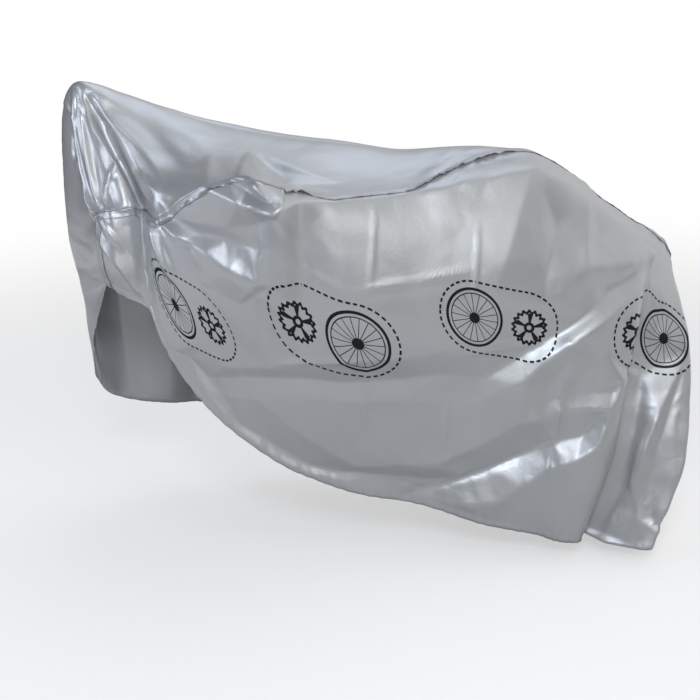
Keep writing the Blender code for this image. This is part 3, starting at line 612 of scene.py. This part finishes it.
def facet_lift(film, size, height, seed):
    """Flat three-sided facets of random tilt, over film coordinates in metres."""
    rng = np.random.default_rng(seed)
    turn = rng.uniform(0, math.pi)
    across = np.array(((math.cos(turn), math.sin(turn)), (-math.sin(turn), math.cos(turn))))
    place = film @ across.T / size
    for wave in FACET_WAVES:
        shift = rng.uniform(0, 2 * math.pi, 4)
        u, v = place[..., 0] * wave, place[..., 1] * wave
        sway_x = np.sin(v + shift[0]) + np.sin(u * 0.6 + shift[1])
        sway_z = np.sin(u + shift[2]) + np.sin(v * 0.7 + shift[3])
        place = place + np.stack([sway_x, sway_z], -1) * FACET_SWAY / wave
    corner = np.floor(place).astype(int)
    part_x, part_z = (place - corner)[..., 0], (place - corner)[..., 1]
    heights = rng.normal(0, height, (FACET_HEIGHTS, FACET_HEIGHTS))
    a, b, c, d = (heights[(corner[..., 0] + dx) % FACET_HEIGHTS, (corner[..., 1] + dz) % FACET_HEIGHTS]
                  for dx, dz in ((0, 0), (0, 1), (1, 0), (1, 1)))
    lower = a + part_x * (c - a) + part_z * (b - a)
    upper = d + (1 - part_x) * (b - d) + (1 - part_z) * (c - d)
    return np.where(part_x + part_z < 1, lower, upper)


def crumple_rows():
    """Short creases that run out of each crumpled place, in the creases' columns."""
    rng = np.random.default_rng(WRINKLE_SEED)
    rows = []
    for side, x, z, reach, depth, rays in in_metres(CRUMPLES):
        for k in range(rays):
            angle = 2 * math.pi * (k + rng.uniform(-0.4, 0.4)) / rays
            start = reach * rng.uniform(0.02, 0.30)
            length = reach * rng.uniform(0.60, 1.20)
            x1, z1 = x + start * math.cos(angle), z + start * math.sin(angle)
            angle += rng.uniform(-0.25, 0.25)
            x2, z2 = x1 + length * math.cos(angle), z1 + length * math.sin(angle)
            lift = depth * rng.uniform(0.3, 0.9) * rng.choice((-1, 1, 1))
            width = rng.uniform(0.06, 0.13) * reach
            rows.append((side, x1, z1, x2, z2, rng.uniform(-0.05, 0.05) * length, width * 0.5, width,
                         0.0, lift, 0.0, rng.uniform(-0.4, 0.4)))
    return tuple(rows)


SMALL_FOLDS = in_metres(CREASES) + crumple_rows()


def drawn_lift(x, z):
    """The lift that is flat between neighbouring corners, at side-view places x, z."""
    groups = {group: [group + str(k + 1) for k in range(len(CORNERS[group]))] for group in CORNERS}
    names = sum(groups.values(), [])
    lines = [groups[group] for group in groups if group not in LOOSE] + [line.split() for line in LINES]
    edges = [(names.index(a), names.index(b)) for line in lines for a, b in zip(line, line[1:])]
    rows = np.concatenate(list(CORNERS.values())) / 1000
    flat = [Vector(row[:2]) for row in rows]
    corner_places, _, faces, origins, *_ = delaunay_2d_cdt(flat, edges, [], 0, SAME_PLACE)
    lifts = [rows[origin[0], 2] for origin in origins]
    lift = np.zeros(x.shape)
    for corners in faces:
        (ax, az), (bx, bz), (cx, cz) = (corner_places[k] for k in corners)
        area = (bx - ax) * (cz - az) - (cx - ax) * (bz - az)
        b = ((x - ax) * (cz - az) - (cx - ax) * (z - az)) / area
        c = ((bx - ax) * (z - az) - (x - ax) * (bz - az)) / area
        inside = (b >= 0) & (c >= 0) & (b + c <= 1)
        here = lifts[corners[0]] * (1 - b - c) + lifts[corners[1]] * b + lifts[corners[2]] * c
        lift = np.where(inside, here, lift)
    return lift


def film_lift(skin, out, film, seed):
    """All that lifts the film off its smooth shape, at its points and film coordinates."""
    x, z = skin[..., 0], skin[..., 2]
    near_facing = np.clip((NEAR_UP_TO - out[..., 1]) / NEAR_UP_TO / 2, 0, 1)
    facing = {1: near_facing, -1: 1 - near_facing}
    rise, dip = np.zeros(x.shape), np.zeros(x.shape)
    for row in in_metres(FOLDS):
        one = facing[row[0]] * fold_lift(x, z, row, MAIN_CREST)
        rise, dip = np.maximum(rise, one), np.minimum(dip, one)
    lift = rise + dip + facing[1] * drawn_lift(x, z)
    for row in SMALL_FOLDS:
        lift += facing[row[0]] * fold_lift(x, z, row, CREST)
    busy = np.full(x.shape, CALM_FACETS)
    for row in in_metres(CRUMPLES):
        near = np.exp(-((x - row[1]) ** 2 + (z - row[2]) ** 2) / (2 * row[3] ** 2))
        busy += CRUMPLED_FACETS * facing[row[0]] * near
    for k, (size, height) in enumerate(FACETS):
        lift += facet_lift(film, size, height, seed + k) * np.minimum(busy, MOST_FACETS)
    return lift


def film_places(grid):
    """Film coordinates of a grid: metres along from its first column and up from its first row."""
    up = np.stack([distances(column) for column in grid])
    along = distances(grid[:, grid.shape[1] // 2])
    return np.stack([np.repeat(along[:, None], grid.shape[1], 1), up], -1)


def calm_ends(s):
    """Folds die out within END_FADE of the end seams."""
    return np.clip(np.minimum(s - s[0], s[-1] - s) / END_FADE, 0, 1)[:, None]


def hem_step(film):
    """The turned-up hem: a band that stands proud, a pressed line along its inner edge, small puckers."""
    along, above = film[..., 0], film[..., 1]
    band = 1 / (1 + np.exp(np.clip((above - HEM_BAND) / HEM_EDGE, -30, 30)))
    line = np.exp(-((above - HEM_BAND - HEM_LINE_OFF) / HEM_LINE_WIDTH) ** 2)
    waves = np.sin(along * 2 * math.pi / HEM_PUCKERS[0]) * np.sin(along * 2 * math.pi / HEM_PUCKERS[1])
    return band * HEM_STEP - line * HEM_LINE + waves * np.exp(-above / HEM_PUCKER_REACH) * HEM_PUCKER


def panel_grids():
    """Finished outer skins and film coordinates of the near and the far panel."""
    near, far = near_grid(), far_grid()
    near_film, far_film = film_places(near), film_places(far)
    near_out, far_out = grid_normals(near), -grid_normals(far)
    near_calm, far_calm = calm_ends(rows_along(NEAR_STEPS, NEAR_SHARES)), calm_ends(far_columns())
    near_lift = film_lift(near, near_out, near_film, NEAR_SEED) * near_calm + hem_step(near_film)
    far_lift = (film_lift(far, far_out, far_film, FAR_SEED) + hem_step(far_film)) * far_calm
    near += near_out * near_lift[..., None]
    far += far_out * far_lift[..., None]
    join_seams(near, far)
    return near - HOLD_POINT, near_film, far - HOLD_POINT, far_film


def join_seams(near, far):
    """Draws the far panel's top edge and ends onto the near panel's, easing back into the far panel."""
    ease = np.linspace(0, 1, SEAM_ROWS + 1) ** 2
    front = np.linspace(0, 1, FAR_FRONT_STEPS + 1)[:-1]
    near_s, far_top_s = rows_along(NEAR_STEPS, NEAR_SHARES), rows_along(FAR_STEPS, FAR_SHARES)
    seam = np.concatenate([read_line(run_lengths(near[0]), near[0], front),
                           read_line(near_s, near[:, -1], far_top_s)])
    far[:, -SEAM_ROWS - 1:] += (seam - far[:, -1])[:, None] * ease[None, :, None]
    rear = read_line(run_lengths(near[-1]), near[-1], run_lengths(far[-1]))
    near_rear = np.clip(1 - (REAR_S - far_columns()) / SEAM_EASE, 0, 1)[:, None, None] ** 2
    far += near_rear * (rear - far[-1])
    far[0] = near[0, 0]


def edge_strip(lines, width, steps):
    """Points at even distances up to a width along each line, from its first point."""
    at = np.linspace(0, width, steps + 1)
    return np.stack([read_line(distances(line), line, at) for line in lines])


# ---- pieces
def sheet_piece(name, grid, film, turned=False):
    """A fine sheet from a grid of points, with its film coordinates as a UV map."""
    rows, columns = grid.shape[:2]
    index = np.arange(rows * columns).reshape(rows, columns)
    quads = np.stack([index[:-1, :-1], index[1:, :-1], index[1:, 1:], index[:-1, 1:]], -1).reshape(-1, 4)
    if turned:
        quads = quads[:, ::-1]
    mesh = bpy.data.meshes.new(name)
    mesh.from_pydata(grid.reshape(-1, 3).tolist(), [], quads.tolist())
    layer = mesh.uv_layers.new(name="film")
    layer.data.foreach_set("uv", film.reshape(-1, 2)[quads.ravel()].astype(np.float32).ravel())
    mesh.shade_smooth()
    piece = bpy.data.objects.new(name, mesh)
    bpy.context.scene.collection.objects.link(piece)
    return piece


def give_thickness(piece, thickness):
    """Merges points that fall on each other and gives the film its thickness, laid inwards."""
    bpy.ops.object.select_all(action="DESELECT")
    piece.select_set(True)
    bpy.context.view_layer.objects.active = piece
    weld = piece.modifiers.new("weld", "WELD")
    weld.merge_threshold = SAME_PLACE
    bpy.ops.object.modifier_apply(modifier=weld.name)
    wall = piece.modifiers.new("thickness", "SOLIDIFY")
    wall.thickness = thickness
    wall.offset = -1
    bpy.ops.object.modifier_apply(modifier=wall.name)


def print_places(piece, film):
    """Gives each point its place in the nearest motif, in motif units, and the motif's kind."""
    centres = np.array([row[:2] for row in PRINTS])
    points = film.reshape(-1, 2)
    nearest = np.argmin(np.linalg.norm(points[:, None] - centres[None], axis=-1), axis=1)
    local = np.zeros((len(points), 3))
    for k, (along, up, turn, size, kind) in enumerate(PRINTS):
        mine = nearest == k
        away = points[mine] - (along, up)
        c, s = math.cos(math.radians(turn)), math.sin(math.radians(turn))
        local[mine, 0] = (away[:, 0] * c + away[:, 1] * s) / size
        local[mine, 1] = (away[:, 1] * c - away[:, 0] * s) / size
        local[mine, 2] = np.where(np.linalg.norm(local[mine, :2], axis=1) < PRINT_REACH, kind, BLANK)
    attribute = piece.data.attributes.new("print_place", "FLOAT_VECTOR", "POINT")
    attribute.data.foreach_set("vector", local.astype(np.float32).ravel())


def make_panels():
    """Both film panels and the grid that the flaps lie on."""
    near, near_film, far, far_film = panel_grids()
    near_piece = sheet_piece("near_film", near, near_film)
    print_places(near_piece, near_film)
    far_piece = sheet_piece("far_film", far, far_film, turned=True)
    for piece in (near_piece, far_piece):
        give_thickness(piece, FILM)
    return near_piece, far_piece, near


def make_flap(name, strip, out, waves, turned=True):
    """One weld allowance, flat on the near panel but for its free edge, which stands off in waves."""
    share = np.linspace(0, 1, strip.shape[1])
    run = distances(strip[:, 0])
    wave = np.zeros(len(run))
    for length, turn in FLAP_WAVES:
        wave += np.sin(run * 2 * math.pi / length + turn) / len(FLAP_WAVES)
    stand = FLAP_LIFT + FLAP + share[None] ** 3 * (waves * (0.6 + wave.clip(-0.6, 1)))[:, None]
    grid = strip + out[:, None] * stand[..., None]
    film = np.stack(np.broadcast_arrays(run[:, None], share[None] * FLAP_WIDTH), -1)
    piece = sheet_piece(name, grid, film, turned)
    give_thickness(piece, FLAP)
    return piece


def make_flaps(near):
    """The three weld allowances."""
    out = grid_normals(near)
    below = near[:, ::-1]
    free_edge = np.interp(near[:, -1, 0], *(np.array(FREE_EDGE) / 1000).T)
    top = make_flap("top_weld", edge_strip(below, FLAP_WIDTH, 8), out[:, -2], free_edge)
    keep = slice(0, NEAR_ROWS - 3)
    front_strip = edge_strip(near[:FRONT_STRIP].transpose(1, 0, 2), FLAP_WIDTH, 6)[keep]
    rear_strip = edge_strip(near[:-REAR_STRIP:-1].transpose(1, 0, 2), FLAP_WIDTH, 6)[keep]
    stands = np.full(len(front_strip), END_STAND)
    front = make_flap("front_weld", front_strip, out[1, keep], stands)
    rear = make_flap("rear_weld", rear_strip, out[-2, keep], stands, turned=False)
    return top, front, rear


# ---- materials
def linear(code):
    """An sRGB hex colour as linear RGBA."""
    channels = [int(code[k:k + 2], 16) / 255 for k in (1, 3, 5)]
    return [c / 12.92 if c <= 0.04045 else ((c + 0.055) / 1.055) ** 2.4 for c in channels] + [1.0]


def add(tree, kind, settings=None, **inputs):
    """Adds one node: its settings, then its inputs by name or as i0, i1..., each a value or an output."""
    node = tree.nodes.new("ShaderNode" + kind)
    for key, value in (settings or {}).items():
        setattr(node, key, value)
    for key, value in inputs.items():
        socket = node.inputs[int(key[1:]) if key[1:].isdigit() else key.replace("_", " ")]
        if isinstance(value, bpy.types.NodeSocket):
            tree.links.new(value, socket)
        else:
            socket.default_value = value
    return node


def film_material(name, colour, shade, print_colour=None):
    """Calendered PEVA film filled with aluminium flakes, which give it a satin, half-metallic shine."""
    material = bpy.data.materials.new(name)
    material.use_nodes = True
    tree = material.node_tree
    shader = tree.nodes["Principled BSDF"]
    shader.inputs["Metallic"].default_value = METALLIC
    place = add(tree, "TexCoord").outputs["Object"]
    # the flakes lie unevenly in patches about 200 mm across
    cloud = add(tree, "TexNoise", Vector=place, Scale=5.0, Detail=3.0, Roughness=0.6).outputs["Fac"]
    tone = add(tree, "Mix", {"data_type": "RGBA"}, i0=cloud, i6=linear(shade), i7=linear(colour))
    base = tone.outputs[2]
    if print_colour:
        ink = print_mask(tree)
        inked = add(tree, "Mix", {"data_type": "RGBA"}, i0=ink, i6=base, i7=linear(print_colour))
        base = inked.outputs[2]
    tree.links.new(base, shader.inputs["Base Color"])
    rough = add(tree, "MapRange", Value=cloud, From_Min=0.3, From_Max=0.7,
                To_Min=SATIN[0], To_Max=SATIN[1])
    tree.links.new(rough.outputs[0], shader.inputs["Roughness"])
    # crinkles: wandering ridges about 24 mm apart, and a finer grain of about 11 mm
    warp = add(tree, "TexNoise", Vector=place, Scale=22.0, Detail=2.0).outputs["Color"]
    moved = add(tree, "VectorMath", {"operation": "MULTIPLY_ADD"},
                i0=warp, i1=(CRINKLE_SWAY,) * 3, i2=place)
    ridges = add(tree, "TexVoronoi", {"feature": "DISTANCE_TO_EDGE"},
                 Vector=moved.outputs[0], Scale=42.0)
    edge = add(tree, "MapRange", Value=ridges.outputs[0], From_Min=0.0, From_Max=0.14)
    soft = add(tree, "TexNoise", Vector=place, Scale=90.0, Detail=3.0, Roughness=0.55)
    height = add(tree, "Math", {"operation": "MULTIPLY_ADD"},
                 i0=edge.outputs[0], i1=RIDGE_SHARE, i2=soft.outputs["Fac"])
    bump = add(tree, "Bump", Strength=0.22, Distance=CRINKLE, Height=height.outputs[0])
    tree.links.new(bump.outputs[0], shader.inputs["Normal"])
    return material


def print_mask(tree):
    """The plain printed motif: a spoked ring and a toothed ring in a loop of short dashes; 1 is ink."""
    place = add(tree, "Attribute", {"attribute_name": "print_place"}).outputs["Vector"]
    x, y, kind = add(tree, "SeparateXYZ", i0=place).outputs
    way = add(tree, "MapRange", Value=kind, From_Min=0.4, From_Max=0.6, To_Min=1.0, To_Max=-1.0)
    values = {"x": x, "y": y, "way": way.outputs[0]}
    for name, operation, *inputs in PRINT_STEPS:
        given = {"i%d" % k: values.get(value, value) for k, value in enumerate(inputs)}
        settings = {"operation": operation} if operation.isupper() else None
        node = add(tree, PRINT_NODES.get(operation, "Math"), settings, **given)
        values[name] = node.outputs[-1]
    ink = values[PRINT_MARKS[0]]
    for mark in PRINT_MARKS[1:]:
        ink = add(tree, "Math", {"operation": "MAXIMUM"}, i0=ink, i1=values[mark]).outputs[0]
    printed = add(tree, "Math", {"operation": "LESS_THAN"}, i0=kind, i1=HIGHEST_KIND).outputs[0]
    return add(tree, "Math", {"operation": "MULTIPLY"}, i0=ink, i1=printed).outputs[0]


def floor_material():
    """Matt studio paper, which has no gloss and runs out into white away from the object."""
    material = bpy.data.materials.new("studio_paper")
    material.use_nodes = True
    tree = material.node_tree
    paper = tree.nodes["Principled BSDF"]
    paper.inputs["Base Color"].default_value = linear(PAPER)
    paper.inputs["Roughness"].default_value = 0.9
    paper.inputs["Emission Color"].default_value = (1, 1, 1, 1)
    direct = add(tree, "LightPath").outputs["Is Camera Ray"]
    glow = add(tree, "Math", {"operation": "MULTIPLY"}, i0=direct, i1=PAPER_GLOW)
    tree.links.new(glow.outputs[0], paper.inputs["Emission Strength"])
    place = add(tree, "TexCoord").outputs["Object"]
    away = add(tree, "VectorMath", {"operation": "LENGTH"}, i0=place).outputs["Value"]
    fade = add(tree, "MapRange", {"interpolation_type": "SMOOTHSTEP"}, Value=away,
               From_Min=PAPER_FADE[0], From_Max=PAPER_FADE[1])
    white = add(tree, "Emission")
    both = add(tree, "MixShader", i0=fade.outputs[0], i1=paper.outputs[0], i2=white.outputs[0])
    tree.links.new(both.outputs[0], tree.nodes["Material Output"].inputs["Surface"])
    return material


def make_world():
    """White to the camera, past the floor; to the film, a dim room that is bright behind the rear end."""
    world = bpy.data.worlds.new("studio")
    world.use_nodes = True
    bpy.context.scene.world = world
    tree = world.node_tree
    room = tree.nodes["Background"]
    seen = add(tree, "Background", Color=(1, 1, 1, 1))
    way = add(tree, "TexCoord").outputs["Generated"]
    share = add(tree, "VectorMath", {"operation": "DOT_PRODUCT"}, i0=way, i1=ROOM_WAY)
    ramp = add(tree, "MapRange", {"interpolation_type": "SMOOTHSTEP"}, Value=share.outputs["Value"],
               From_Min=ROOM_SPAN[0], From_Max=ROOM_SPAN[1], To_Min=ROOM_LIGHT[0], To_Max=ROOM_LIGHT[1])
    room.inputs["Color"].default_value = (1, 1, 1, 1)
    tree.links.new(ramp.outputs[0], room.inputs["Strength"])
    direct = add(tree, "LightPath").outputs["Is Camera Ray"]
    both = add(tree, "MixShader", i0=direct, i1=room.outputs[0], i2=seen.outputs[0])
    tree.links.new(both.outputs[0], tree.nodes["World Output"].inputs["Surface"])


# ---- studio
def make_camera():
    """The photograph's viewpoint."""
    forward = np.array((math.sin(CAMERA_YAW) * math.cos(CAMERA_PITCH),
                        math.cos(CAMERA_YAW) * math.cos(CAMERA_PITCH), -math.sin(CAMERA_PITCH)))
    level = np.array((math.cos(CAMERA_YAW), -math.sin(CAMERA_YAW), 0))
    above = np.cross(level, forward)
    c, s = math.cos(CAMERA_ROLL), math.sin(CAMERA_ROLL)
    turn = Matrix(np.stack([c * level + s * above, c * above - s * level, -forward], 1).tolist()).to_4x4()
    lens = bpy.data.cameras.new("camera")
    lens.sensor_width, lens.lens = 36, CAMERA_LENS
    camera = bpy.data.objects.new("camera", lens)
    bpy.context.scene.collection.objects.link(camera)
    camera.matrix_world = Matrix.Translation(CAMERA_PLACE) @ turn
    bpy.context.scene.camera = camera


def make_studio():
    """Pale floor and soft light."""
    bpy.ops.object.select_all(action="DESELECT")
    bpy.ops.mesh.primitive_circle_add(vertices=96, radius=PAPER_FADE[1], fill_type="NGON",
                                      location=(FLOOR_MIDDLE, 0, -HOLD_POINT[2]))
    floor = bpy.context.object
    floor.name = "floor"
    floor.data.materials.append(floor_material())
    make_world()
    for name, place, aim, size, power, colour in LIGHTS:
        light = bpy.data.lights.new(name, "AREA")
        light.size, light.energy = size, power
        light.color = linear(colour)[:3]
        lamp = bpy.data.objects.new(name, light)
        bpy.context.scene.collection.objects.link(lamp)
        lamp.location = place
        lamp.rotation_euler = (Vector(aim) - Vector(place)).to_track_quat("-Z", "Y").to_euler()
    bpy.context.scene.view_settings.view_transform = "Standard"


# ---- putting it together
make_camera()
make_studio()
near_piece, far_piece, near_skin = make_panels()
top_weld, front_weld, rear_weld = make_flaps(near_skin)

# the far panel is plain, the near one printed in dark grey, and the welds are painted a little darker than
# the panels, as painted shade for the shadow under their free edges
silver = film_material("silver_pigmented_peva", "#D0D1D2", "#C7C8CA")
printed = film_material("printed_silver_peva", "#D0D1D2", "#C7C8CA", print_colour="#1E1F22")
# welds: darker tones of the same film, painted shade
welded = film_material("welded_peva_painted_shade", "#C6C7C9", "#B9BABD")
for piece, node, slot, material in (
        (near_piece, "near_panel", "silver_film", printed),
        (far_piece, "far_panel", "silver_film", silver),
        (top_weld, "top_seam_flap", "welded_film", welded),
        (front_weld, "front_seam_flap", "welded_film", welded),
        (rear_weld, "rear_seam_flap", "welded_film", welded)):
    piece.data.materials.append(material)
    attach(piece, "root")
    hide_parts(node)
